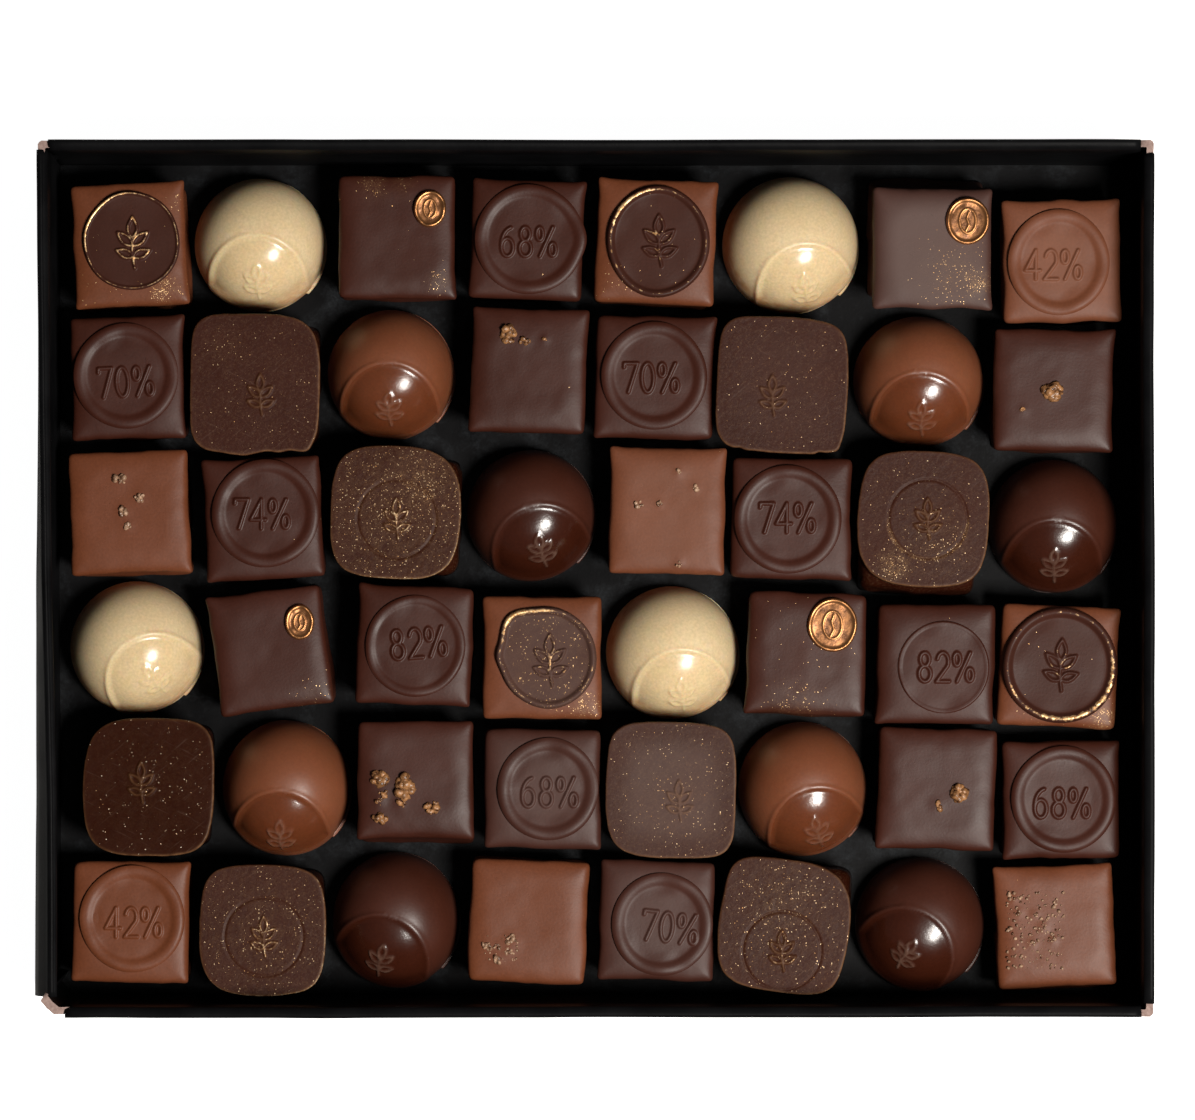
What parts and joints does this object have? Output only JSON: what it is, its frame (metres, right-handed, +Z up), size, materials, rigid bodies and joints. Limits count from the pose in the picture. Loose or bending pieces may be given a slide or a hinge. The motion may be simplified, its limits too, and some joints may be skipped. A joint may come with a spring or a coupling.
{
  "type": "box of chocolate pralines",
  "caption": "Open box of folded black card filled with rows of enrobed squares, moulded domes and pressed plates in milk, dark and white chocolate",
  "frame": {"origin": "middle of the tray's underside", "axes": "+X along the tray's long side, +Y towards its back wall, +Z up"},
  "size_m": [0.2262, 0.1778, 0.03],
  "materials": {
    "black_card": "black coated card with a low sheen, bare board at the corners",
    "milk_chocolate": "milk chocolate, satin",
    "dark_chocolate": "dark chocolate, satin with a grey bloom",
    "white_chocolate": "white chocolate, satin",
    "gilt": "edible gold rubbed over chocolate"
  },
  "bodies": {
    "root": {"card_tray": "black_card", "r1c1_dark_seal": "dark_chocolate", "r1c1_milk_square": "milk_chocolate", "r1c2_white_dome": "white_chocolate", "r1c3_dark_square": "dark_chocolate", "r1c3_gilt_seal": "gilt", "r1c4_dark_numbered": "dark_chocolate", "r1c5_dark_seal": "dark_chocolate", "r1c5_milk_square": "milk_chocolate", "r1c6_white_dome": "white_chocolate", "r1c7_dark_square": "dark_chocolate", "r1c7_gilt_seal": "gilt", "r1c8_milk_numbered": "milk_chocolate", "r2c1_dark_numbered": "dark_chocolate", "r2c2_dark_plate": "dark_chocolate", "r2c3_milk_dome": "milk_chocolate", "r2c4_dark_crunch": "dark_chocolate", "r2c5_dark_numbered": "dark_chocolate", "r2c6_dark_plate": "dark_chocolate", "r2c7_milk_dome": "milk_chocolate", "r2c8_dark_crunch": "dark_chocolate", "r3c1_milk_salt": "milk_chocolate", "r3c2_dark_numbered": "dark_chocolate", "r3c3_dark_plate": "dark_chocolate", "r3c4_dark_dome": "dark_chocolate", "r3c5_milk_salt": "milk_chocolate", "r3c6_dark_numbered": "dark_chocolate", "r3c7_dark_plate": "dark_chocolate", "r3c8_dark_dome": "dark_chocolate", "r4c1_white_dome": "white_chocolate", "r4c2_dark_square": "dark_chocolate", "r4c2_gilt_seal": "gilt", "r4c3_dark_numbered": "dark_chocolate", "r4c4_dark_seal": "dark_chocolate", "r4c4_milk_square": "milk_chocolate", "r4c5_white_dome": "white_chocolate", "r4c6_dark_square": "dark_chocolate", "r4c6_gilt_seal": "gilt", "r4c7_dark_numbered": "dark_chocolate", "r4c8_dark_seal": "dark_chocolate", "r4c8_milk_square": "milk_chocolate", "r5c1_dark_plate": "dark_chocolate", "r5c2_milk_dome": "milk_chocolate", "r5c3_dark_crunch": "dark_chocolate", "r5c4_dark_numbered": "dark_chocolate", "r5c5_dark_plate": "dark_chocolate", "r5c6_milk_dome": "milk_chocolate", "r5c7_dark_crunch": "dark_chocolate", "r5c8_dark_numbered": "dark_chocolate", "r6c1_milk_numbered": "milk_chocolate", "r6c2_dark_plate": "dark_chocolate", "r6c3_dark_dome": "dark_chocolate", "r6c4_milk_salt": "milk_chocolate", "r6c5_dark_numbered": "dark_chocolate", "r6c6_dark_plate": "dark_chocolate", "r6c7_dark_dome": "dark_chocolate", "r6c8_milk_salt": "milk_chocolate"}
  },
  "joints": []
}
